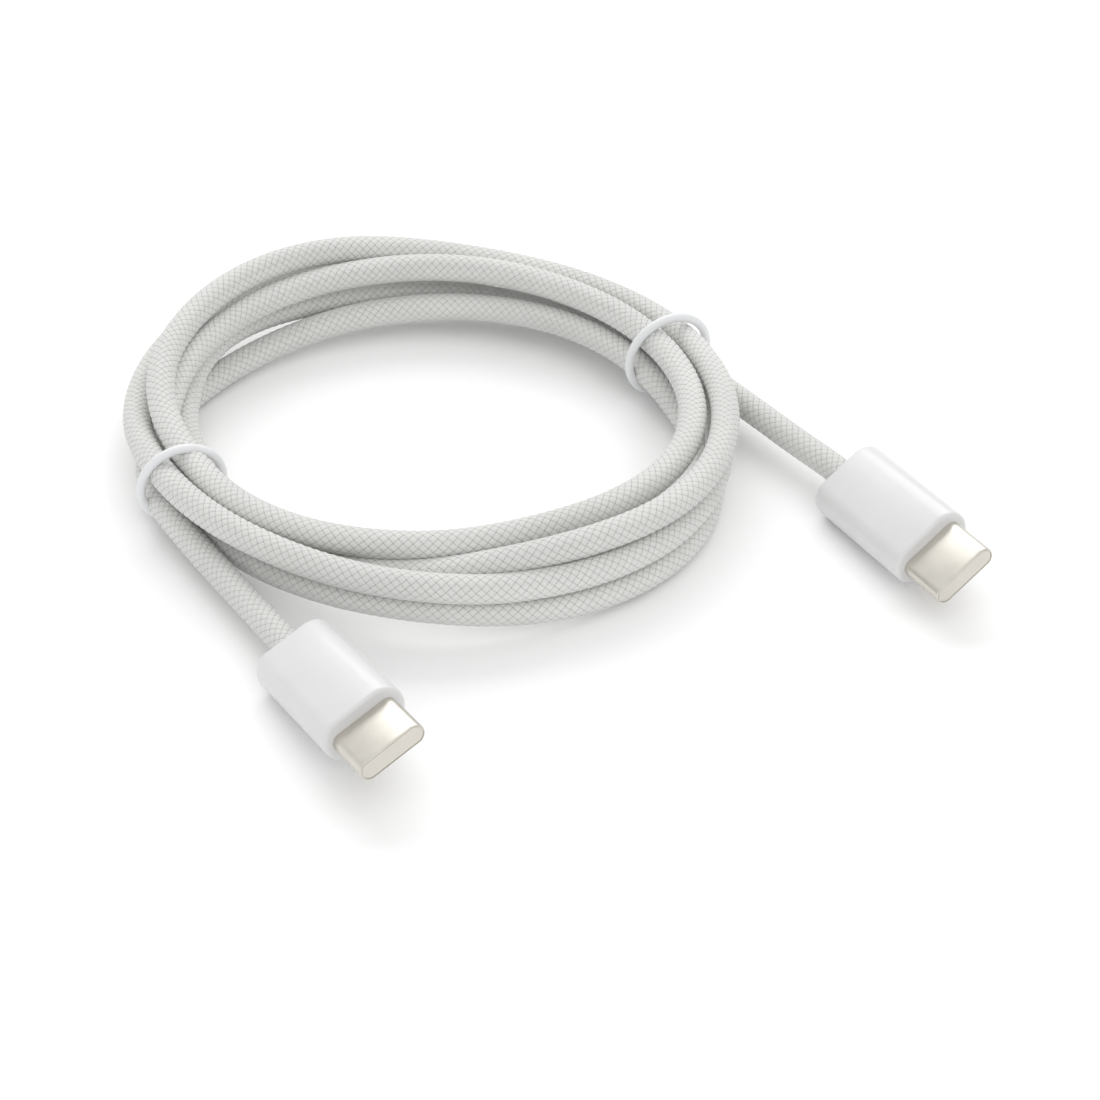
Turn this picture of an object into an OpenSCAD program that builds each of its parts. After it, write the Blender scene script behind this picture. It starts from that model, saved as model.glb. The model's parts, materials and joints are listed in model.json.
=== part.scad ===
/* [Cord] */
// Diameter of the woven cord
cord_d = 3.36; // [3:0.02:3.8]
// Radius of the middle of the coiled bundle
coil_r = 32.05; // [31.5:0.05:33]
// Width of the coiled bundle, measured along the radius
coil_w = 7.7; // [7:0.1:7.8]
// Height of the coiled bundle
coil_h = 7.6; // [7:0.1:7.7]

/* [Ring ties] */
// Thickness of the round strand that each ring tie is made of
tie_wire_d = 1.1; // [0.8:0.1:1.2]
// Direction of the left tie, seen from the middle of the coil
left_tie_angle = 203; // [200:1:206]
// Width of the opening of the left tie, along the radius
left_tie_w = 8.9; // [8.8:0.1:9.4]
// Height of the opening of the left tie
left_tie_h = 8.3; // [8.3:0.1:8.7]
// Direction of the right tie, seen from the middle of the coil
right_tie_angle = 28.5; // [27:0.5:32]
// Width of the opening of the right tie, along the radius
right_tie_w = 9.9; // [9.1:0.1:10.2]
// Height of the opening of the right tie
right_tie_h = 9; // [8.4:0.1:9.1]

/* [Plug housing] */
// Width of the white housing
housing_w = 10.2; // [10.1:0.1:12.3]
// Thickness of the white housing
housing_t = 5.3; // [5.2:0.1:6.4]
// Length of the white housing
housing_l = 18.2; // [17.6:0.1:20]
// Size of the rounding at the cord end of the housing
rim_r = 0.9; // [0.4:0.1:1]
// Size of the bevel at the front of the housing
front_bevel = 0.4; // [0.2:0.1:0.5]

/* [Plug shell] */
// Outer width of the metal shell
shell_w = 8.25; // [8.2:0.01:8.28]
// Outer thickness of the metal shell
shell_t = 2.4; // [2.36:0.01:2.44]
// Length of the shell that stands out of the housing
shell_l = 6.65; // [6.6:0.01:6.7]
// Wall thickness of the shell
shell_wall = 0.25; // [0.2:0.01:0.28]

/* [Lie of the plugs] */
// Heading of plug A, turned from +X towards +Y
plug_a_yaw = -61.4; // [-63:0.1:-60]
// Rise of plug A towards its mouth
plug_a_pitch = 7.8; // [4:0.1:9]
// Turn of plug A about its own length
plug_a_roll = 23.4; // [15:0.1:28]
// Heading of plug B, turned from +X towards +Y
plug_b_yaw = -62.4; // [-64:0.1:-60]
// Rise of plug B towards its mouth
plug_b_pitch = 3.9; // [2:0.1:6]
// Turn of plug B about its own length
plug_b_roll = 32.6; // [25:0.1:35]

/* [Hidden] */

$fn = 48;
gap = 0.3; // room between a tie and the coil
slip = 0.02; // room between pieces that sit inside one another
body_x = 13.686; // the middle of the whole part lies here, seen from the middle of the coil
body_y = -15.2;

cord_white = [0.86, 0.86, 0.84];
plug_white = [0.95, 0.95, 0.95];
mould_white = [0.9, 0.9, 0.91];
tie_white = [0.93, 0.94, 0.95];
nickel = [0.8, 0.77, 0.72];
steel = [0.62, 0.62, 0.64];
black = [0.05, 0.05, 0.05];
gold = [0.83, 0.66, 0.28];
board_green = [0.05, 0.3, 0.17];
chip_black = [0.1, 0.1, 0.11];
wire_red = [0.75, 0.1, 0.08];

// Heights
coil_z0 = tie_wire_d + gap;
corner_r = 3.4; // rounding of the bundle's cross-section

// Housing: the cavity that holds the works, and the mouth that holds the nose of the inner mould
flat_half = (housing_w - housing_t) / 2;
cavity_w = 8.8;
cavity_t = 3.96;
cavity_x0 = -16.7;
nose_w = 9;
nose_t = 4.1;
nose_depth = 1.3;
nose_set_back = 0.1;
cord_hole_r = 1.8;

// Inner mould and the can inside it
can_w = 7.8;
can_t = 2.9;
can_wall = 0.2;
can_x0 = -13.6;
can_x1 = -4.6;

// Works inside the shell
shell_x0 = -4.4;
carrier_x0 = -4.2;
carrier_x1 = 6.3;
slot_w = 6.9;
slot_t = 1.1;
slot_x0 = 1.2;
pitch = 0.5;
contact_w = 0.25;
contact_t = 0.12;
contact_x0 = -6.4;
contact_x1 = 5.4;
contacts_in_row = 12;
latch_t = 0.16;
arm_w = 0.22;
arm_y = 3.2;
latch_w = 2 * arm_y + arm_w;
board_w = 6.6;
board_t = 0.88;
board_x0 = -12.4;
board_x1 = -4.9;
cord_end_x = -14.9;
wire_r = 0.3;
ring_r = 1.93;

// The lie of a plug is [yaw, pitch, roll]
// Its direction, and the height of its front face when the rim at the cord end touches the ground
function plug_dir(t) = [cos(t[0]) * cos(t[1]), sin(t[0]) * cos(t[1]), sin(t[1])];
function depth(t) = housing_t / 2 - rim_r + flat_half * sin(t[2]);
function front_z(t) = depth(t) * cos(t[1]) + (housing_l - rim_r) * sin(t[1]) + rim_r;
turn_a = [plug_a_yaw, plug_a_pitch, plug_a_roll];
turn_b = [plug_b_yaw, plug_b_pitch, plug_b_roll];
front_a = [-5.9, -58.5, front_z(turn_a)];
front_b = [57, -25.6, front_z(turn_b)];

// Points on the centre lines of the plugs, s in front of the front face
function on_a(s) = front_a + s * plug_dir(turn_a);
function on_b(s) = front_b + s * plug_dir(turn_b);

// Routes of the two loose ends, from the coil to inside the plug
route_a = [
  [-30.8, -16, 3.3], [-27.4, -21.8, 3.2], [-23.8, -27.7, 3.2], [-20.2, -33.4, 3.2], [-17, -38.6, 3.3],
  on_a(-housing_l - 1.2), on_a(-housing_l + 0.2), on_a(cord_end_x)];
route_b = [
  [31.6, 14.7, 3.9], [35.4, 9.2, 3.9], [39.3, 3.7, 3.9], [43, -1.4, 3.8], [46.2, -5.7, 3.8],
  on_b(-housing_l - 1.2), on_b(-housing_l + 0.2), on_b(cord_end_x)];

// A tube swept along a route, with an even number of sides
tube_sides = 8;
function unit(v) = v / norm(v);
function heading(p, i) = unit(p[min(i + 1, len(p) - 1)] - p[max(i - 1, 0)]);
function across(d) = unit(cross(d, [0, 0, 1]));
function ring_points(c, d, r) = [for (k = [0 : tube_sides - 1])
  let (a = 360 * k / tube_sides) c + r * cos(a) * across(d) + r * sin(a) * cross(across(d), d)];
module swept_tube(route, r) {
  last = len(route) - 1;
  points = [for (i = [0 : last]) each ring_points(route[i], heading(route, i), r)];
  sides = [for (i = [0 : last - 1], k = [0 : tube_sides - 1])
    let (a = i * tube_sides + k, b = i * tube_sides + (k + 1) % tube_sides)
    each [[a, b, b + tube_sides], [a, b + tube_sides, a + tube_sides]]];
  start = [[for (k = [tube_sides - 1 : -1 : 0]) k]];
  end = [[for (k = [0 : tube_sides - 1]) last * tube_sides + k]];
  polyhedron(points = points, faces = concat(sides, start, end), convexity = 4);
}

module placed() {
  translate([-body_x, -body_y, 0]) children();
}

module at_a() {
  placed() translate(front_a) rotate([turn_a[2], -turn_a[1], turn_a[0]]) children();
}

module at_b() {
  placed() translate(front_b) rotate([turn_b[2], -turn_b[1], turn_b[0]]) children();
}

// A flat outline with fully round sides
module stadium(w, t) {
  translate([-(w - t) / 2, 0]) circle(d = t);
  translate([(w - t) / 2, 0]) circle(d = t);
  square([w - t, t], center = true);
}

// The same outline drawn out along the plug from x0 to x1
module bar(w, t, x0, x1) {
  translate([x0, 0, 0]) rotate([90, 0, 90]) linear_extrude(x1 - x0) stadium(w, t);
}

module block(x0, x1, w, z0, z1) {
  translate([x0, -w / 2, z0]) cube([x1 - x0, w, z1 - z0]);
}

module rod_x(x0, x1, y, z, r) {
  translate([x0, y, z]) rotate([0, 90, 0]) cylinder(h = x1 - x0, r = r);
}

// Half of the lengthwise outline of the housing, with the rounded rim and the front bevel
module housing_profile() {
  r = housing_t / 2;
  steps = 5;
  rim = [for (i = [0 : steps])
    let (a = 90 * i / steps) [r - rim_r + rim_r * sin(a), -housing_l + rim_r - rim_r * cos(a)]];
  bevel = [[r, -front_bevel], [r - front_bevel, 0]];
  polygon(concat([[0, -housing_l]], rim, bevel, [[0, 0]]));
}

module housing_body() {
  for (side = [0, 180])
    rotate([side, 0, 0]) translate([0, flat_half, 0])
      rotate([0, 90, 0]) rotate_extrude(angle = 180) housing_profile();
  translate([0, flat_half, 0]) rotate([90, 0, 0]) rotate([0, 0, -90]) linear_extrude(2 * flat_half) {
    housing_profile();
    mirror([1, 0]) housing_profile();
  }
}

module housing_shape() {
  color(plug_white) difference() {
    housing_body();
    bar(cavity_w, cavity_t, cavity_x0, 0.1 - nose_depth);
    bar(nose_w, nose_t, -nose_depth, 1);
    rod_x(-housing_l - 1, cavity_x0 + 0.1, 0, 0, cord_hole_r);
  }
}

module inner_mould_shape() {
  color(mould_white) difference() {
    union() {
      bar(cavity_w - 2 * slip, cavity_t - 2 * slip, can_x0 + 0.3, 0.1 - nose_depth);
      bar(nose_w - 2 * slip, nose_t - 2 * slip, slip - nose_depth, -nose_set_back);
    }
    bar(can_w + 2 * slip, can_t + 2 * slip, can_x0 - 1, can_x1 + slip);
    bar(shell_w + 2 * slip, shell_t + 2 * slip, shell_x0 - 0.3, 1);
  }
}

module shell_shape() {
  color(nickel) difference() {
    bar(shell_w, shell_t, shell_x0, shell_l);
    bar(shell_w - 2 * shell_wall, shell_t - 2 * shell_wall, shell_x0 - 1, shell_l + 1);
  }
}

module carrier_shape() {
  inner_w = shell_w - 2 * shell_wall - 2 * slip;
  inner_t = shell_t - 2 * shell_wall - 2 * slip;
  color(black) difference() {
    bar(inner_w, inner_t, carrier_x0, carrier_x1);
    bar(slot_w, slot_t, slot_x0, carrier_x1 + 1);
    block(carrier_x0 - 1, slot_x0 + 0.1, latch_w + 2 * slip, -latch_t / 2 - slip, latch_t / 2 + slip);
    for (side = [-1, 1])
      translate([slot_x0 - 0.1, side * arm_y - arm_w / 2 - slip, -slot_t / 2 + 0.1])
        cube([4.2, arm_w + 2 * slip, slot_t - 0.2]);
    for (row = [-1, 1])
      contact_row(row, carrier_x0 - 1, contact_x1 + slip, slip);
    for (row = [-1, 1])
      spring_pad(row, slip);
  }
}

// One row of contacts; row is 1 for the upper and -1 for the lower, and grow widens them for their channels
module contact_row(row, x0, x1, grow) {
  z = row * (slot_t / 2 - 0.03);
  for (i = [0 : contacts_in_row - 1])
    translate([x0, (i - (contacts_in_row - 1) / 2) * pitch - contact_w / 2 - grow, z - contact_t / 2 - grow])
      cube([x1 - x0, contact_w + 2 * grow, contact_t + 2 * grow]);
}

module contacts_shape(row) {
  color(gold) contact_row(row, contact_x0, contact_x1, 0);
}

// The latch: a flat plate between the rows with a hooked arm along each side of the slot
module latch_shape() {
  color(steel) {
    block(carrier_x0 + 0.2, slot_x0, latch_w, -latch_t / 2, latch_t / 2);
    for (side = [-1, 1])
      translate([slot_x0 - 0.05, side * arm_y - arm_w / 2, -slot_t / 2 + 0.12])
        cube([4, arm_w, slot_t - 0.24]);
    for (side = [-1, 1])
      translate([slot_x0 + 3.35, side * (arm_y - 0.16) - 0.2, -slot_t / 2 + 0.12])
        cube([0.6, 0.4, slot_t - 0.24]);
  }
}

// Ground spring pads that lie between the carrier and the shell
module spring_pad(row, grow) {
  z = row * (shell_t / 2 - shell_wall - slip - 0.05);
  translate([2.2 - grow, -2.4 - grow, z - 0.05 - grow])
    cube([2.4 + 2 * grow, 4.8 + 2 * grow, 0.1 + 2 * grow]);
}

module ground_springs_shape() {
  color(steel) for (row = [-1, 1]) spring_pad(row, 0);
}

module board_shape() {
  color(board_green) block(board_x0, board_x1, board_w, -board_t / 2, board_t / 2);
}

module board_parts_shape() {
  color(chip_black) {
    translate([-9.8, -1.1, board_t / 2]) cube([2.2, 2.2, 0.5]);
    for (y = [-2.4, 2])
      translate([-9.2, y, board_t / 2]) cube([1, 0.5, 0.35]);
    translate([-9.4, -0.25, -board_t / 2 - 0.35]) cube([1, 0.5, 0.35]);
  }
}

module shield_can_shape() {
  color(steel) difference() {
    bar(can_w, can_t, can_x0, can_x1);
    bar(can_w - 2 * can_wall, can_t - 2 * can_wall, can_x0 + can_wall, can_x1 + 1);
    rod_x(can_x0 - 1, can_x0 + 1, 0, 0, 1.5);
  }
}

// Insulated conductors from the cord to the pads of the board
module core_wires_shape() {
  z = board_t / 2 + wire_r;
  color(wire_red) {
    for (y = [-0.8, 0.8])
      rod_x(cord_end_x, board_x0 + 1.2, y, z, wire_r);
    for (y = [-0.5, 0.5])
      rod_x(cord_end_x, board_x0 + 1.2, y, -z, wire_r);
  }
}

module crimp_ring_shape() {
  color(steel) difference() {
    rod_x(cavity_x0 + slip, can_x0 - 0.1, 0, 0, ring_r);
    rod_x(cavity_x0 - 1, can_x0 + 1, 0, 0, cord_hole_r - 0.08);
  }
}

module coil_section() {
  w = coil_w - 2 * corner_r;
  h = coil_h - 2 * corner_r;
  for (x = [-w / 2, w / 2], y = [-h / 2, h / 2])
    translate([x, y]) circle(r = corner_r);
  square([coil_w, h], center = true);
  square([w, coil_h], center = true);
}

module cord_coil() {
  placed() color(cord_white) translate([0, 0, coil_z0 + coil_h / 2])
    rotate_extrude($fn = 96) translate([coil_r, 0]) coil_section();
}

module cord_tail_a() {
  placed() color(cord_white) swept_tube(route_a, cord_d / 2);
}

module cord_tail_b() {
  placed() color(cord_white) swept_tube(route_b, cord_d / 2);
}

// A closed loop of round strand standing across the bundle, with an opening w wide and h high
module tie(angle, w, h) {
  bend = (h + tie_wire_d) / 2;
  run = w - h;
  placed() color(tie_white)
    rotate([0, 0, angle]) translate([coil_r, 0, tie_wire_d + h / 2]) rotate([90, 0, 0]) {
      for (side = [-1, 1])
        translate([side * run / 2, 0, 0]) rotate([0, 0, -90 * side])
          rotate_extrude(angle = 180) translate([bend, 0]) circle(d = tie_wire_d, $fn = 24);
      for (y = [-bend, bend])
        translate([-run / 2, y, 0]) rotate([0, 90, 0]) cylinder(h = run, d = tie_wire_d, $fn = 24);
    }
}

module tie_left() {
  tie(left_tie_angle, left_tie_w, left_tie_h);
}

module tie_right() {
  tie(right_tie_angle, right_tie_w, right_tie_h);
}

cord_coil();
cord_tail_a();
cord_tail_b();
tie_left();
tie_right();
at_a() housing_shape();  // housing_a
at_a() inner_mould_shape();  // inner_mould_a
at_a() shell_shape();  // shell_a
at_a() carrier_shape();  // carrier_a
at_a() contacts_shape(1);  // contacts_upper_a
at_a() contacts_shape(-1);  // contacts_lower_a
at_a() latch_shape();  // latch_a
at_a() ground_springs_shape();  // ground_springs_a
at_a() board_shape();  // board_a
at_a() board_parts_shape();  // board_parts_a
at_a() shield_can_shape();  // shield_can_a
at_a() core_wires_shape();  // core_wires_a
at_a() crimp_ring_shape();  // crimp_ring_a
at_b() housing_shape();  // housing_b
at_b() inner_mould_shape();  // inner_mould_b
at_b() shell_shape();  // shell_b
at_b() carrier_shape();  // carrier_b
at_b() contacts_shape(1);  // contacts_upper_b
at_b() contacts_shape(-1);  // contacts_lower_b
at_b() latch_shape();  // latch_b
at_b() ground_springs_shape();  // ground_springs_b
at_b() board_shape();  // board_b
at_b() board_parts_shape();  // board_parts_b
at_b() shield_can_shape();  // shield_can_b
at_b() core_wires_shape();  // core_wires_b
at_b() crimp_ring_shape();  // crimp_ring_b
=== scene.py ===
import json
import math

import bmesh
import bpy
import numpy as np
from bpy.props import FloatProperty, FloatVectorProperty, IntProperty, PointerProperty
from mathutils import Matrix, Vector


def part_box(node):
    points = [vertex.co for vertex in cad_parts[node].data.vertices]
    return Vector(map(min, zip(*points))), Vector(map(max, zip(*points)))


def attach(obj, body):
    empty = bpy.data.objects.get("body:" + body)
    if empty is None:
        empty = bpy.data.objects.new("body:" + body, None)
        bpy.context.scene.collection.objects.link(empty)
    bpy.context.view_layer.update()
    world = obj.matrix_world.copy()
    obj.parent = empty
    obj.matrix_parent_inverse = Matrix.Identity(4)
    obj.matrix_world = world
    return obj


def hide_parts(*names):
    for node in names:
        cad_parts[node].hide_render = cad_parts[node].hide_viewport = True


# A charging cable: a woven cord wound in a coil, two ring ties and a plug on each end.

bl_info = {
    "name": "Charging Cable",
    "version": (1, 0, 0),
    "blender": (4, 5, 0),
    "location": "View3D > Sidebar > Cable",
    "description": "Builds the woven cord, ring ties, plugs and stage of a charging cable",
    "category": "Object",
}

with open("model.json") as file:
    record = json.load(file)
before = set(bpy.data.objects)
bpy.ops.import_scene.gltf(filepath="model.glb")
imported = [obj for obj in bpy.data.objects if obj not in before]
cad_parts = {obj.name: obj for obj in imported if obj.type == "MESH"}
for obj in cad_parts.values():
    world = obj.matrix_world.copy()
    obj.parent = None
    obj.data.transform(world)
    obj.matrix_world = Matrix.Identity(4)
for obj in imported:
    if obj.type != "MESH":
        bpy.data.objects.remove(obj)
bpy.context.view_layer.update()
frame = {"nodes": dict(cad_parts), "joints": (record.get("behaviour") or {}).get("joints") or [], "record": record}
record = frame["record"]
mm = 0.001

joints = {j["name"]: j for j in frame["joints"]}
mounts = {m["name"]: m for m in record["mounts"]}
coil_centre = Vector(joints["tie_left_slide"]["pos_m"])


# ---------------------------------------------------------------- settings


class CableCordSettings(bpy.types.PropertyGroup):
    """Sizes and colour of the woven cord."""

    diameter: FloatProperty(
        name="Diameter",
        description="Outer diameter of the woven cord",
        default=3.36 * mm,
        unit="LENGTH",
        precision=5,
    )
    stitch: FloatProperty(
        name="Stitch",
        description="Length of one stitch of the weave along the cord",
        default=1.07 * mm,
        unit="LENGTH",
        precision=5,
    )
    rows: IntProperty(
        name="Rows", description="Rows of stitches around the cord", default=20
    )
    relief: FloatProperty(
        name="Relief",
        description="How far a stitch stands above the cord's mean surface",
        default=0.05 * mm,
        unit="LENGTH",
        precision=6,
    )
    colour: FloatVectorProperty(
        name="Colour",
        description="Colour of the yarn",
        subtype="COLOR",
        size=3,
        default=(0.70, 0.70, 0.68),
    )


class CableTieSettings(bpy.types.PropertyGroup):
    """Sizes and colour of the ring ties."""

    wire: FloatProperty(
        name="Wire",
        description="Thickness of the round strand of a ring tie",
        default=1.1 * mm,
        unit="LENGTH",
        precision=5,
    )
    colour: FloatVectorProperty(
        name="Colour",
        description="Colour of the rubber",
        subtype="COLOR",
        size=3,
        default=(0.79, 0.80, 0.81),
    )


class CablePlugSettings(bpy.types.PropertyGroup):
    """Sizes and colours of the plugs."""

    width: FloatProperty(
        name="Width",
        description="Width of the housing",
        default=10.2 * mm,
        unit="LENGTH",
        precision=5,
    )
    thickness: FloatProperty(
        name="Thickness",
        description="Thickness of the housing",
        default=5.3 * mm,
        unit="LENGTH",
        precision=5,
    )
    length: FloatProperty(
        name="Length",
        description="Length of the housing",
        default=18.2 * mm,
        unit="LENGTH",
        precision=5,
    )
    rim: FloatProperty(
        name="Rim",
        description="Rounding at the cord end of the housing",
        default=0.9 * mm,
        unit="LENGTH",
        precision=5,
    )
    shell_width: FloatProperty(
        name="Shell width",
        description="Outer width of the metal shell",
        default=8.25 * mm,
        unit="LENGTH",
        precision=5,
    )
    shell_thickness: FloatProperty(
        name="Shell thickness",
        description="Outer thickness of the metal shell",
        default=2.4 * mm,
        unit="LENGTH",
        precision=5,
    )
    shell_length: FloatProperty(
        name="Shell length",
        description="Length of shell that stands out of the housing",
        default=6.65 * mm,
        unit="LENGTH",
        precision=5,
    )
    shell_wall: FloatProperty(
        name="Shell wall",
        description="Wall thickness of the metal shell",
        default=0.25 * mm,
        unit="LENGTH",
        precision=5,
    )
    colour: FloatVectorProperty(
        name="Housing colour",
        description="Colour of the moulded housing",
        subtype="COLOR",
        size=3,
        default=(0.70, 0.70, 0.70),
    )


class CableStageSettings(bpy.types.PropertyGroup):
    """View and light."""

    elevation: FloatProperty(
        name="Elevation",
        description="Height angle of the camera above the floor",
        default=math.radians(35.59),
        subtype="ANGLE",
    )
    distance: FloatProperty(
        name="Distance",
        description="From the camera to the point it looks at",
        default=374.9 * mm,
        unit="LENGTH",
    )
    lens: FloatProperty(
        name="Lens", description="Focal length in millimetres", default=105.41
    )
    key: FloatProperty(
        name="Key light", description="Power of the light behind the cable", default=2.95
    )
    ambient: FloatProperty(
        name="Ambient light", description="Strength of the even light", default=0.88
    )


# ---------------------------------------------------------------- node helpers


class Surface:
    """A principled material with short ways to add nodes to it."""

    def __init__(self, name, colour, roughness, **sockets):
        self.material = bpy.data.materials.new(name)
        self.material.use_nodes = True
        self.tree = self.material.node_tree
        self.shader = self.tree.nodes["Principled BSDF"]
        self.shader.inputs["Base Color"].default_value = (*colour, 1)
        self.shader.inputs["Roughness"].default_value = roughness
        for socket, value in sockets.items():
            self.shader.inputs[socket.replace("_", " ")].default_value = value

    def node(self, kind, **options):
        made = self.tree.nodes.new(kind)
        for key, value in options.items():
            setattr(made, key, value)
        return made

    def join(self, source, socket):
        self.tree.links.new(source, socket)

    def maths(self, operation, *values):
        made = self.node("ShaderNodeMath", operation=operation)
        for i, value in enumerate(values):
            if isinstance(value, bpy.types.NodeSocket):
                self.join(value, made.inputs[i])
            else:
                made.inputs[i].default_value = value
        return made.outputs[0]

    def ramp(self, value, low, high, to_low=0.0, to_high=1.0):
        made = self.node("ShaderNodeMapRange")
        self.join(value, made.inputs["Value"])
        made.inputs["From Min"].default_value = low
        made.inputs["From Max"].default_value = high
        made.inputs["To Min"].default_value = to_low
        made.inputs["To Max"].default_value = to_high
        return made.outputs["Result"]

    def place(self, scale=(1, 1, 1), uv=None, turn=(0, 0, 0)):
        """Object coordinates, or those of a UV map, through a Mapping node."""
        if uv:
            source = self.node("ShaderNodeUVMap", uv_map=uv).outputs["UV"]
        else:
            source = self.node("ShaderNodeTexCoord").outputs["Object"]
        mapping = self.node("ShaderNodeMapping")
        mapping.inputs["Scale"].default_value = scale
        mapping.inputs["Rotation"].default_value = turn
        self.join(source, mapping.inputs["Vector"])
        return mapping.outputs["Vector"]

    def noise(self, vector, scale, detail=2.0, roughness=0.5):
        made = self.node("ShaderNodeTexNoise")
        made.inputs["Scale"].default_value = scale
        made.inputs["Detail"].default_value = detail
        made.inputs["Roughness"].default_value = roughness
        self.join(vector, made.inputs["Vector"])
        return made.outputs["Fac"]

    def mix(self, share, dark, light):
        made = self.node("ShaderNodeMix", data_type="RGBA")
        self.join(share, made.inputs["Factor"])
        for socket, value in (("A", dark), ("B", light)):
            place = [s for s in made.inputs if s.name == socket and s.type == "RGBA"][0]
            if isinstance(value, bpy.types.NodeSocket):
                self.join(value, place)
            else:
                place.default_value = (*value, 1)
        return [s for s in made.outputs if s.type == "RGBA"][0]

    def colour(self, socket):
        self.join(socket, self.shader.inputs["Base Color"])

    def rough(self, socket):
        self.join(socket, self.shader.inputs["Roughness"])

    def bump(self, height, distance, strength=1.0):
        made = self.node("ShaderNodeBump")
        made.inputs["Strength"].default_value = strength
        made.inputs["Distance"].default_value = distance
        self.join(height, made.inputs["Height"])
        self.join(made.outputs["Normal"], self.shader.inputs["Normal"])


def scaled(colour, share):
    return tuple(c * share for c in colour)


def weave_finish(settings):
    """Yarns that cross over and under at a slant; where they dip and meet, the colour is painted darker as shade.
    """
    s = Surface("woven yarn", tuple(settings.colour), 0.82, Sheen_Weight=0.25, Sheen_Roughness=0.5)
    parts = s.node("ShaderNodeSeparateXYZ")
    s.join(s.place(uv="weave"), parts.inputs[0])
    along, around = parts.outputs["X"], parts.outputs["Y"]
    half = s.maths("MULTIPLY", around, 0.5)
    right = s.maths("ADD", s.maths("ADD", along, half), 64.0)
    left = s.maths("ADD", s.maths("SUBTRACT", along, half), 64.0)
    across_right = s.maths("ABSOLUTE", s.maths("MULTIPLY_ADD", s.maths("FRACT", right), 2.0, -1.0))
    across_left = s.maths("ABSOLUTE", s.maths("MULTIPLY_ADD", s.maths("FRACT", left), 2.0, -1.0))
    cells = s.maths("ADD", s.maths("FLOOR", right), s.maths("FLOOR", left))
    on_top = s.maths("MODULO", cells, 2.0)

    def yarn_height(side, end):
        fall = s.maths("SUBTRACT", 1.0, s.maths("POWER", side, 3.0))
        round_side = s.maths("SQRT", s.maths("MAXIMUM", fall, 0.0))
        dip = s.maths("SUBTRACT", 1.0, s.maths("MULTIPLY", s.maths("POWER", end, 4.0), 0.45))
        return s.maths("MULTIPLY", round_side, dip)

    one = s.maths("MULTIPLY", yarn_height(across_left, across_right), on_top)
    other = s.maths("MULTIPLY", yarn_height(across_right, across_left), s.maths("SUBTRACT", 1.0, on_top))
    dome = s.maths("ADD", one, other)
    fibre = s.noise(s.place(scale=(4.0, 26.0, 1.0), uv="weave"), 1.0, 2.0)
    height = s.maths("ADD", dome, s.maths("MULTIPLY", fibre, 0.12))
    patches = s.noise(s.place(scale=(0.06, 0.12, 1.0), uv="weave"), 1.0, 3.0)
    yarn = s.mix(
        s.ramp(patches, 0.3, 0.7),
        scaled(settings.colour, 0.93),
        scaled(settings.colour, 1.05),
    )
    # Painted shade: the low parts of the weave, where yarns dip under and meet, take 0.4 of the yarn colour.
    painted_hollow_shade = scaled(settings.colour, 0.4)
    s.colour(s.mix(s.ramp(dome, 0.0, 0.55), painted_hollow_shade, yarn))
    s.rough(s.ramp(fibre, 0.2, 0.8, 0.74, 0.9))
    s.bump(height, 0.14 * mm, 0.9)
    return s.material


def rubber_finish(settings):
    """Smooth pale rubber with faint mould marks."""
    s = Surface("tie rubber", tuple(settings.colour), 0.42)
    place = s.place()
    cloud = s.noise(place, 400.0, 3.0)
    s.colour(s.mix(s.ramp(cloud, 0.35, 0.65), scaled(settings.colour, 0.96), tuple(settings.colour)))
    s.rough(s.ramp(cloud, 0.3, 0.7, 0.36, 0.5))
    s.bump(s.noise(place, 5000.0, 2.0), 0.01 * mm, 0.3)
    return s.material


def housing_finish(settings, name, gloss, share=1.0):
    """Moulded white plastic with a very fine grain and slight handling wear."""
    colour = scaled(settings.colour, share)
    s = Surface(name, colour, gloss, Coat_Weight=0.15, Coat_Roughness=0.12)
    place = s.place()
    cloud = s.noise(place, 260.0, 4.0)
    s.colour(s.mix(s.ramp(cloud, 0.3, 0.7), scaled(colour, 0.975), colour))
    s.rough(s.ramp(s.noise(place, 600.0, 2.0), 0.3, 0.7, gloss - 0.02, gloss + 0.04))
    s.bump(s.noise(place, 900.0, 1.0), 0.002 * mm, 0.2)
    return s.material


def nickel_finish():
    """Drawn nickel plate: fine lengthwise lines and soft smudges."""
    base = (0.655, 0.63, 0.572)
    s = Surface("nickel plate", base, 0.2, Metallic=1.0)
    place = s.place()
    smudge = s.noise(place, 420.0, 4.0, 0.6)
    lines = s.noise(s.place(scale=(1.0, 0.12, 1.0), turn=(0, 0, math.radians(28))), 5200.0, 2.0)
    s.colour(s.mix(s.ramp(smudge, 0.3, 0.7), scaled(base, 0.96), scaled(base, 1.03)))
    s.rough(s.maths("ADD", s.ramp(smudge, 0.3, 0.7, 0.29, 0.34), s.ramp(lines, 0.3, 0.7, 0.0, 0.04)))
    s.bump(lines, 0.001 * mm, 0.2)
    return s.material


def inner_finish(name, colour, roughness, metallic=0.0, grain=3000.0):
    """Finish of a small inner piece: slight clouding and grain."""
    s = Surface(name, colour, roughness, Metallic=metallic)
    place = s.place()
    cloud = s.noise(place, grain * 0.2, 3.0)
    s.colour(s.mix(s.ramp(cloud, 0.3, 0.7), scaled(colour, 0.88), scaled(colour, 1.08)))
    s.rough(s.ramp(cloud, 0.3, 0.7, roughness - 0.06, roughness + 0.08))
    s.bump(s.noise(place, grain, 2.0), 0.004 * mm, 0.3)
    return s.material


# ---------------------------------------------------------------- mesh helpers


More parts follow.
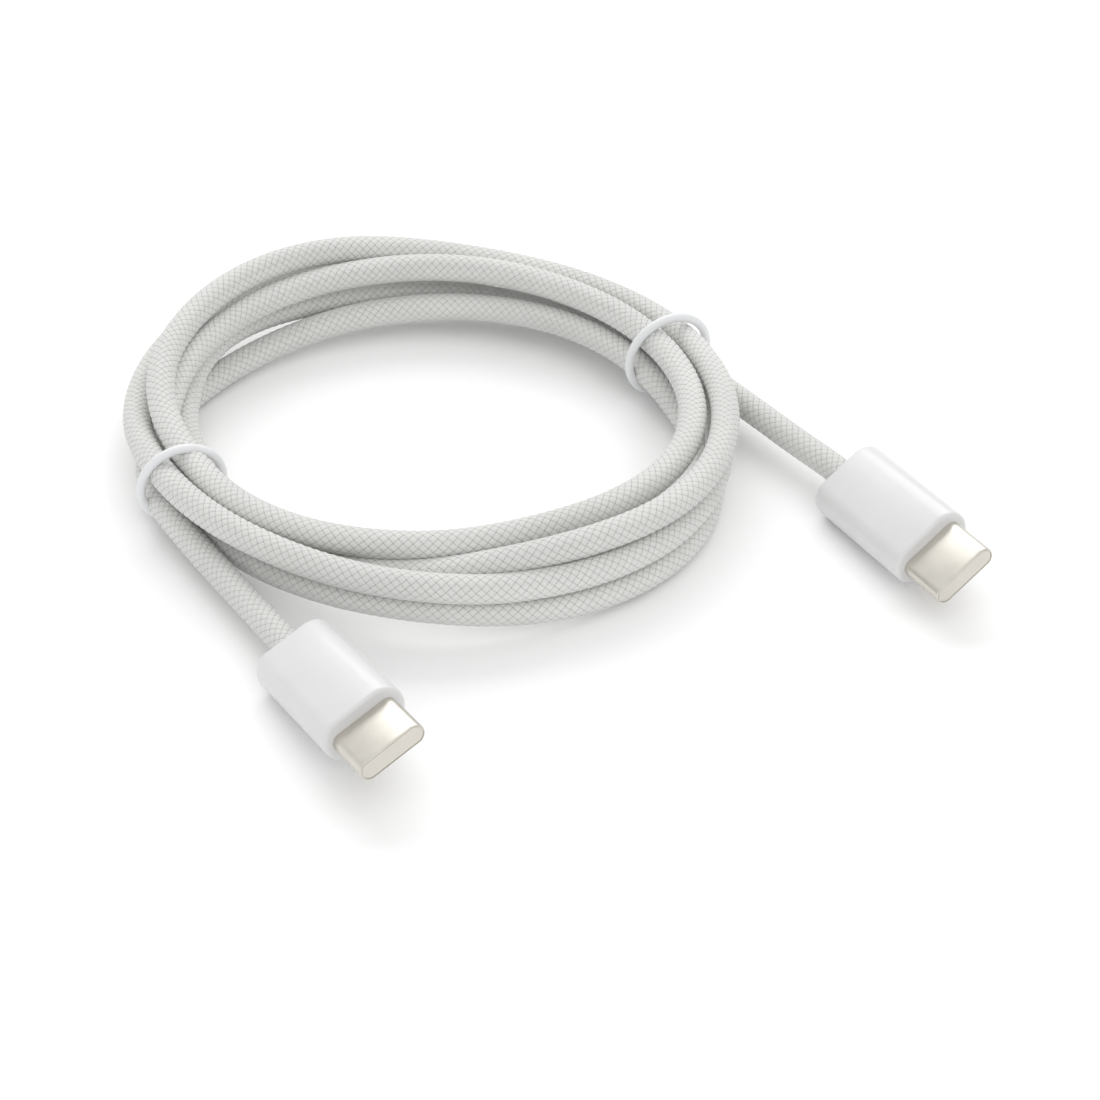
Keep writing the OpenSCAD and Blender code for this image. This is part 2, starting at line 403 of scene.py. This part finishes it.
def finished(mesh_data, name, material, body, slot, *nodes, angle=35):
    """Makes an object of a bmesh, smooth except over sharp edges, and ties it to its body."""
    mesh = bpy.data.meshes.new(name)
    mesh_data.to_mesh(mesh)
    mesh_data.free()
    mesh.materials.append(material)
    for face in mesh.polygons:
        face.use_smooth = True
    made = bpy.data.objects.new(name, mesh)
    bpy.context.scene.collection.objects.link(made)
    if angle:
        mesh.set_sharp_from_angle(angle=math.radians(angle))
    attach(made, body)
    if nodes:
        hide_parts(*nodes)
    return made


def stretched_ring(b, width, thickness, x, segments=32):
    """A stadium whose round ends are cut at the middle, so that the flats are straight edges."""
    turn = Matrix.Rotation(math.radians(90), 4, "Y") @ Matrix.Rotation(
        math.radians(180 / segments), 4, "Z"
    )
    made = bmesh.ops.create_circle(
        b, cap_ends=True, segments=segments, radius=thickness / 2, matrix=turn
    )["verts"]
    shift = (width - thickness) / 2
    for v in made:
        v.co.x = x
        v.co.y += shift if v.co.y > 0 else -shift
    return made


front_rounding = 0.42 * mm
front_lip = 0.18 * mm
front_recess = 1.2 * mm
shell_rounding = 0.16 * mm
shell_root = 4.4 * mm  # how far the shell reaches back inside the housing
shell_bore = 4.2 * mm
rim_steps = ((0.0, 0.03), (-0.1, 0.015), (0.0, 0.035), (0.07, 0.015), (0.0, 0.035))  # depth, inward, in mm


def pulled(b, faces, distance):
    """Extrudes faces along the plug's own axis. The faces come without their edges, so they also stay."""
    made = bmesh.ops.extrude_face_region(b, geom=faces)["geom"]
    moved = [g for g in made if isinstance(g, bmesh.types.BMVert)]
    bmesh.ops.translate(b, verts=moved, vec=(distance, 0, 0))


def rounded(b, x, offset, segments):
    """Bevels the edges that lie wholly at x."""
    edges = [e for e in b.edges if all(abs(v.co.x - x) < 1e-7 for v in e.verts)]
    bmesh.ops.bevel(
        b, geom=edges, offset=offset, offset_type="OFFSET", segments=segments,
        profile=0.5, affect="EDGES", clamp_overlap=True, material=-1,
    )


def largest_front(b):
    """The largest face whose stored normal points forward."""
    return max(b.faces, key=lambda f: (f.normal.x > 0.99) * f.calc_area())


def plug_place(end):
    """Matrix from a plug's own axes (x forward, z across the flats) to the row frame."""
    forward = Vector(mounts[f"plug_{end}_mouth"]["axis"]).normalized()
    up = Vector(mounts[f"plug_{end}_grip"]["axis"]).normalized()
    side = up.cross(forward).normalized()
    settings = bpy.context.scene.cable_plug
    front = Vector(mounts[f"plug_{end}_mouth"]["pos_m"]) - forward * settings.shell_length
    turn = Matrix((forward, side, up)).transposed().to_4x4()
    return Matrix.Translation(front) @ turn


# ---------------------------------------------------------------- the cord's route

# Stations of the coil, one every 30 degrees clockwise from where plug A's end joins it at 205 degrees:
# (distance from the coil's axis, height), in millimetres. Four or five passes lie on and beside one another.
# The values are a table that a separate fitting program made, rounded to 0.1 mm. Several hidden passes were
# then set one by one.
# Only the points between the stations and the spacing of the passes are worked out below.
coil_stations = [
    (34.6, 3.3), (34.0, 2.2), (31.5, 2.0), (29.6, 3.5), (28.8, 4.3), (28.6, 4.6),
    (29.0, 4.1), (32.7, 1.9), (35.6, 1.7), (36.1, 2.4), (34.8, 4.1), (32.7, 3.6),
    (31.4, 2.6), (32.5, 6.6), (32.1, 8.4), (31.7, 8.6), (30.6, 8.9), (29.9, 8.4),
    (30.1, 8.0), (30.7, 7.8), (30.5, 8.4), (29.3, 8.8), (30.0, 8.5), (30.6, 8.5),
    (30.3, 7.8), (33.5, 9.6), (34.1, 11.6), (34.7, 11.0), (34.1, 8.2), (33.9, 7.3),
    (33.9, 7.7), (34.5, 8.2), (35.3, 8.5), (33.9, 8.9), (32.1, 6.1), (29.7, 4.9),
    (29.1, 4.9), (31.1, 3.9), (34.0, 5.6), (33.0, 4.6), (32.6, 3.8), (31.5, 2.8),
    (32.1, 3.0), (33.8, 5.0), (35.4, 4.9), (35.9, 6.0), (35.6, 7.4), (34.1, 8.0),
    (33.9, 7.2), (36.4, 5.7), (38.4, 5.8), (38.7, 6.8), (38.0, 4.7), (35.0, 3.7),
    (34.3, 3.9),
]
start_angle = 205
station_step = 30
coil_step = 5
coil_sweep = 1610

# The two loose ends, from the coil to the plug, in millimetres from the middle of the coil
end_a_route = [
    (-30.8, -16.0, 3.3), (-27.4, -21.8, 3.2), (-23.8, -27.7, 3.2), (-20.2, -33.4, 3.2), (-17.0, -38.6, 3.3),
]
end_b_route = [
    (31.6, 14.7, 3.9), (35.4, 9.2, 3.9), (39.3, 3.7, 3.9), (43.0, -1.4, 3.8), (46.2, -5.7, 3.8),
]
inside_plug = (-19.4, -18.0, -14.9)  # where the cord runs on inside a plug, behind its front face


def between(t, start, leaving, end, arriving):
    """A point between two others, by a cubic that keeps the line's slope at both."""
    return (
        (2 * t**3 - 3 * t**2 + 1) * start
        + (t**3 - 2 * t**2 + t) * leaving
        + (3 * t**2 - 2 * t**3) * end
        + (t**3 - t**2) * arriving
    )


def curve_through(points, step):
    """A smooth line through the points, sampled about every step."""
    p = np.array(points, float)
    tangents = np.gradient(p, axis=0)
    line = []
    for i in range(len(p) - 1):
        count = max(2, int(round(np.linalg.norm(p[i + 1] - p[i]) / step)))
        for t in np.arange(count) / count:
            line.append(between(t, p[i], tangents[i], p[i + 1], tangents[i + 1]))
    line.append(p[-1])
    return np.array(line)


def evenly(line, count):
    """The same line with count points, equally far apart."""
    gaps = np.linalg.norm(np.diff(line, axis=0), axis=1)
    reach = np.concatenate([[0], np.cumsum(gaps)])
    want = np.linspace(0, reach[-1], count)
    return np.stack([np.interp(want, reach, line[:, k]) for k in range(3)], axis=1)


def settled(radius, height, diameter, lowest):
    """Pushes passes of the coil apart where they press into each other, and keeps them on the floor."""
    per_turn = 360 // coil_step
    count = len(radius)
    target = np.stack([radius, height], axis=1)
    place = target.copy()
    closest = diameter * 0.97
    for _ in range(120):
        push = np.zeros_like(place)
        for turns in range(1, count // per_turn + 1):
            a, b = place[: count - turns * per_turn], place[turns * per_turn :]
            gap = b - a
            far = np.linalg.norm(gap, axis=1)
            press = np.maximum(0, closest - far)[:, None] * gap / np.maximum(far, 1e-9)[:, None]
            push[turns * per_turn :] += press * 0.3
            push[: count - turns * per_turn] -= press * 0.3
        place += push
        smooth = place.copy()
        smooth[1:-1] = (place[:-2] + 2 * place[1:-1] + place[2:]) / 4
        place = 0.6 * place + 0.4 * smooth
        place += 0.04 * (target - place)
        place[:, 1] = np.maximum(place[:, 1], lowest)
        place[0], place[-1] = target[0], target[-1]
    return place[:, 0], place[:, 1]


def cord_line(diameter, relief):
    """The cord's centre line from inside plug A round the coil to inside plug B, in the row frame."""
    stations = np.array(coil_stations) * mm
    turned = np.arange(0, coil_sweep + 1, coil_step)
    at = np.arange(len(stations)) * station_step
    slopes = np.gradient(stations, axis=0)
    spot = np.minimum(turned // station_step, len(at) - 2)
    t = ((turned - at[spot]) / station_step)[:, None]
    flat = between(t, stations[spot], slopes[spot], stations[spot + 1], slopes[spot + 1])
    radius, height = settled(flat[:, 0], flat[:, 1], diameter, diameter / 2 + relief)
    angle = np.radians(start_angle - turned)
    centre = np.array(coil_centre)
    coil = np.stack([radius * np.cos(angle), radius * np.sin(angle), height], axis=1) + centre
    ends = {}
    for end, route in (("a", end_a_route), ("b", end_b_route)):
        place = plug_place(end)
        inside = [np.array(place @ Vector((x * mm, 0, 0))) for x in inside_plug]
        ends[end] = [np.array(p) * mm + centre for p in route] + inside
    points = ends["a"][::-1] + list(coil[1:]) + ends["b"]
    return curve_through(points, 0.25 * mm)


# ---------------------------------------------------------------- operators


class CABLE_OT_cord(bpy.types.Operator):
    """Builds the woven cord from one plug round the coil to the other"""

    bl_idname = "cable.cord"
    bl_label = "Woven Cord"

    def execute(self, context):
        s = context.scene.cable_cord
        line = cord_line(s.diameter, s.relief)
        length = float(np.linalg.norm(np.diff(line, axis=0), axis=1).sum())
        rings = int(round(length / s.stitch * 2)) + 1
        line = evenly(line, rings)
        sides = s.rows * 2
        b = bmesh.new()
        weave = b.loops.layers.uv.new("weave")
        bmesh.ops.create_grid(
            b, x_segments=rings - 1, y_segments=sides, size=1, matrix=Matrix.Identity(4)
        )
        place = {}
        for v in b.verts:
            place[v] = (round((v.co.x + 1) / 2 * (rings - 1)), round((v.co.y + 1) / 2 * sides))
        for face in b.faces:
            for corner in face.loops:
                n, k = place[corner.vert]
                corner[weave].uv = (n / 2, k / 2)
        frames = []
        heading = Vector(line[1] - line[0]).normalized()
        across = heading.orthogonal().normalized()
        for i in range(rings):
            ahead = Vector(line[min(i + 1, rings - 1)] - line[max(i - 1, 0)]).normalized()
            across = (across - ahead * across.dot(ahead)).normalized()
            frames.append((Vector(line[i]), across.copy(), ahead.cross(across)))
        for v, (i, k) in place.items():
            middle, across, other = frames[i]
            turn = 2 * math.pi * (k % sides) / sides
            raised = k % 2 == 0 and (i + k // 2) % 2 == 1
            reach = s.diameter / 2 + (s.relief if raised else -s.relief * 0.4)
            v.co = middle + reach * (math.cos(turn) * across + math.sin(turn) * other)
        bmesh.ops.remove_doubles(b, verts=b.verts, dist=1e-7)
        rims = [e for e in b.edges if e.is_boundary]
        bmesh.ops.edgenet_fill(b, edges=rims)
        bmesh.ops.recalc_face_normals(b, faces=b.faces)
        cord = finished(
            b, "cord", weave_finish(s), "cable", "cord",
            "cord_coil", "cord_tail_a", "cord_tail_b", angle=None,
        )
        return {"FINISHED"}


class CABLE_OT_ties(bpy.types.Operator):
    """Builds the two oval ring ties"""

    bl_idname = "cable.ties"
    bl_label = "Ring Ties"

    def execute(self, context):
        s = context.scene.cable_tie
        finish = rubber_finish(s)
        for node in ("tie_left", "tie_right"):
            low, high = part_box(node)
            middle = (low + high) / 2
            outward = (middle - coil_centre) * Vector((1, 1, 0))
            outward.normalize()
            tall = high.z - low.z
            mesh = frame["nodes"][node].data
            reach = [(v.co - coil_centre).dot(outward) for v in mesh.vertices]
            wide = max(reach) - min(reach)
            centre = coil_centre + outward * (max(reach) + min(reach)) / 2
            centre.z = middle.z
            upright = Matrix.Rotation(math.radians(90), 4, "X")
            at_the_end = Matrix.Translation((tall / 2 - s.wire / 2, 0, 0))
            b = bmesh.new()
            bmesh.ops.create_circle(
                b, cap_ends=False, segments=20, radius=s.wire / 2, matrix=at_the_end @ upright
            )
            bmesh.ops.spin(
                b, geom=b.verts[:] + b.edges[:], cent=(0, 0, 0), axis=(0, 0, 1),
                angle=2 * math.pi, steps=72, use_merge=True,
            )
            bmesh.ops.remove_doubles(b, verts=b.verts, dist=1e-7)
            run = (wide - tall) / 2
            for v in b.verts:
                flat = Vector((v.co.x, v.co.y, 0))
                angle = math.atan2(flat.y, flat.x)
                v.co.x += run * math.cos(angle) * (1.15 - 0.15 * math.cos(angle) ** 2)
            bmesh.ops.recalc_face_normals(b, faces=b.faces)
            side = Vector((0, 0, 1)).cross(outward)
            turn = Matrix((outward, Vector((0, 0, 1)), -side)).transposed().to_4x4()
            bmesh.ops.transform(b, matrix=Matrix.Translation(centre) @ turn, verts=b.verts)
            finished(b, f"ring_{node}", finish, node, "tie", node, angle=None)
        return {"FINISHED"}


class CABLE_OT_housings(bpy.types.Operator):
    """Builds the two white plug housings with soft rims"""

    bl_idname = "cable.housings"
    bl_label = "Plug Housings"

    def execute(self, context):
        s = context.scene.cable_plug
        finish = housing_finish(s, "housing plastic", 0.3)
        for end in ("a", "b"):
            b = bmesh.new()
            stretched_ring(b, s.width, s.thickness, 0)
            pulled(b, b.faces[:], -s.length)
            bmesh.ops.recalc_face_normals(b, faces=b.faces)
            rounded(b, -s.length, s.rim, 7)
            rounded(b, 0, front_rounding, 5)
            bmesh.ops.inset_region(
                b, faces=[largest_front(b)], thickness=front_lip, use_even_offset=True
            )
            # Known fault: the front face stays, so the recess behind it is closed
            pulled(b, [largest_front(b)], -front_recess)
            bmesh.ops.transform(b, matrix=plug_place(end), verts=b.verts)
            finished(b, f"plug_{end}_housing", finish, "cable", "plug_white", f"housing_{end}", angle=40)
        return {"FINISHED"}


class CABLE_OT_shells(bpy.types.Operator):
    """Builds the two metal shells with a rolled rim at the mouth"""

    bl_idname = "cable.shells"
    bl_label = "Plug Shells"

    def execute(self, context):
        s = context.scene.cable_plug
        finish = nickel_finish()
        for end in ("a", "b"):
            b = bmesh.new()
            stretched_ring(b, s.shell_width, s.shell_thickness, s.shell_length)
            pulled(b, b.faces[:], -s.shell_length - shell_root)
            bmesh.ops.recalc_face_normals(b, faces=b.faces)
            rounded(b, s.shell_length, shell_rounding, 6)
            for depth, inward in rim_steps:
                bmesh.ops.inset_region(
                    b, faces=[largest_front(b)], thickness=inward * mm, depth=depth * mm,
                    use_even_offset=True,
                )
            # Known fault: the front face stays, so the mouth is closed. Handing over its edges too opens it
            pulled(b, [largest_front(b)], -s.shell_length - shell_bore)
            bmesh.ops.transform(b, matrix=plug_place(end), verts=b.verts)
            finished(b, f"plug_{end}_shell", finish, "cable", "nickel", f"shell_{end}", angle=50)
        return {"FINISHED"}


class CABLE_OT_works(bpy.types.Operator):
    """Gives the pieces inside the plugs their finishes"""

    bl_idname = "cable.works"
    bl_label = "Plug Works"

    def execute(self, context):
        s = context.scene.cable_plug
        finishes = {
            "inner_mould": housing_finish(s, "inner mould plastic", 0.5, 0.94),
            "carrier": inner_finish("carrier plastic", (0.12, 0.112, 0.098), 0.3),
            "contacts": inner_finish("gold contacts", (0.83, 0.62, 0.26), 0.24, 1.0),
            "steel": inner_finish("sheet steel", (0.58, 0.57, 0.56), 0.3, 1.0),
            "board": inner_finish("board mask", (0.02, 0.13, 0.07), 0.35),
            "chip": inner_finish("chip moulding", (0.03, 0.03, 0.033), 0.5),
            "wire": inner_finish("wire insulation", (0.5, 0.03, 0.02), 0.45),
        }
        kinds = {
            "inner_mould": "inner_mould", "carrier": "carrier", "contacts_upper": "contacts",
            "contacts_lower": "contacts", "latch": "steel", "ground_springs": "steel",
            "board": "board", "board_parts": "chip", "shield_can": "steel",
            "core_wires": "wire", "crimp_ring": "steel",
        }
        for end in ("a", "b"):
            for piece, kind in kinds.items():
                mesh = frame["nodes"][f"{piece}_{end}"].data
                mesh.materials.clear()
                mesh.materials.append(finishes[kind])
        return {"FINISHED"}


class CABLE_OT_stage(bpy.types.Operator):
    """Sets up the pale floor, the soft light and the camera"""

    bl_idname = "cable.stage"
    bl_label = "Stage"

    def execute(self, context):
        s = context.scene.cable_stage
        scene = context.scene
        scene.view_settings.view_transform = "Standard"
        aim = Vector((-0.14 * mm, -3.43 * mm, 0))
        camera = bpy.data.cameras.new("view")
        camera.lens, camera.sensor_width = s.lens, 36
        camera.clip_start, camera.clip_end = 0.01, 20
        eye = bpy.data.objects.new("view", camera)
        eye.location = aim + Vector((0, -math.cos(s.elevation), math.sin(s.elevation))) * s.distance
        eye.rotation_euler = (math.pi / 2 - s.elevation, 0, 0)
        scene.collection.objects.link(eye)
        scene.camera = eye

        b = bmesh.new()
        bmesh.ops.create_circle(b, cap_ends=True, segments=96, radius=2.5)
        mesh = bpy.data.meshes.new("floor")
        b.to_mesh(mesh)
        b.free()
        paper = Surface("floor paper", (0.97, 0.97, 0.97), 0.9)
        cloud = paper.noise(paper.place(), 3.0)
        paper.colour(paper.mix(cloud, (0.967, 0.967, 0.967), (0.973, 0.973, 0.973)))
        mesh.materials.append(paper.material)
        floor = bpy.data.objects.new("floor", mesh)
        scene.collection.objects.link(floor)

        def panel(name, place, size, power):
            light = bpy.data.lights.new(name, "AREA")
            light.shape = "RECTANGLE"
            light.size, light.size_y = size
            light.energy = power
            lamp = bpy.data.objects.new(name, light)
            lamp.location = place
            lamp.rotation_euler = (aim - Vector(place)).to_track_quat("-Z", "Y").to_euler()
            scene.collection.objects.link(lamp)

        panel("key", (-0.06, 0.62, 0.55), (0.8, 0.42), s.key)
        panel("fill", (0.35, -0.6, 0.7), (0.9, 0.6), s.key * 0.35)

        world = bpy.data.worlds.new("even light")
        world.use_nodes = True
        back = world.node_tree.nodes["Background"]
        back.inputs["Color"].default_value = (1, 1, 1, 1)
        back.inputs["Strength"].default_value = s.ambient
        scene.world = world
        return {"FINISHED"}


class CABLE_PT_panel(bpy.types.Panel):
    """Lists the builders of the cable"""

    bl_idname = "CABLE_PT_panel"
    bl_label = "Charging Cable"
    bl_space_type = "VIEW_3D"
    bl_region_type = "UI"
    bl_category = "Cable"

    def draw(self, context):
        scene = context.scene
        for group, operators in (
            (scene.cable_cord, ("cable.cord",)),
            (scene.cable_tie, ("cable.ties",)),
            (scene.cable_plug, ("cable.housings", "cable.shells", "cable.works")),
            (scene.cable_stage, ("cable.stage",)),
        ):
            box = self.layout.box()
            for name in group.bl_rna.properties.keys():
                if name not in ("rna_type", "name"):
                    box.prop(group, name)
            for operator in operators:
                box.operator(operator)


setting_groups = (
    ("cable_cord", CableCordSettings),
    ("cable_tie", CableTieSettings),
    ("cable_plug", CablePlugSettings),
    ("cable_stage", CableStageSettings),
)
operators = (
    CABLE_OT_stage,
    CABLE_OT_cord,
    CABLE_OT_ties,
    CABLE_OT_housings,
    CABLE_OT_shells,
    CABLE_OT_works,
)


def register():
    for name, group in setting_groups:
        bpy.utils.register_class(group)
        setattr(bpy.types.Scene, name, PointerProperty(type=group))
    for operator in operators:
        bpy.utils.register_class(operator)
    bpy.utils.register_class(CABLE_PT_panel)


def unregister():
    bpy.utils.unregister_class(CABLE_PT_panel)
    for operator in reversed(operators):
        bpy.utils.unregister_class(operator)
    for name, group in reversed(setting_groups):
        delattr(bpy.types.Scene, name)
        bpy.utils.unregister_class(group)


def main():
    register()
    for operator in operators:
        group, name = operator.bl_idname.split(".")
        getattr(getattr(bpy.ops, group), name)()


if __name__ == "__main__":
    main()
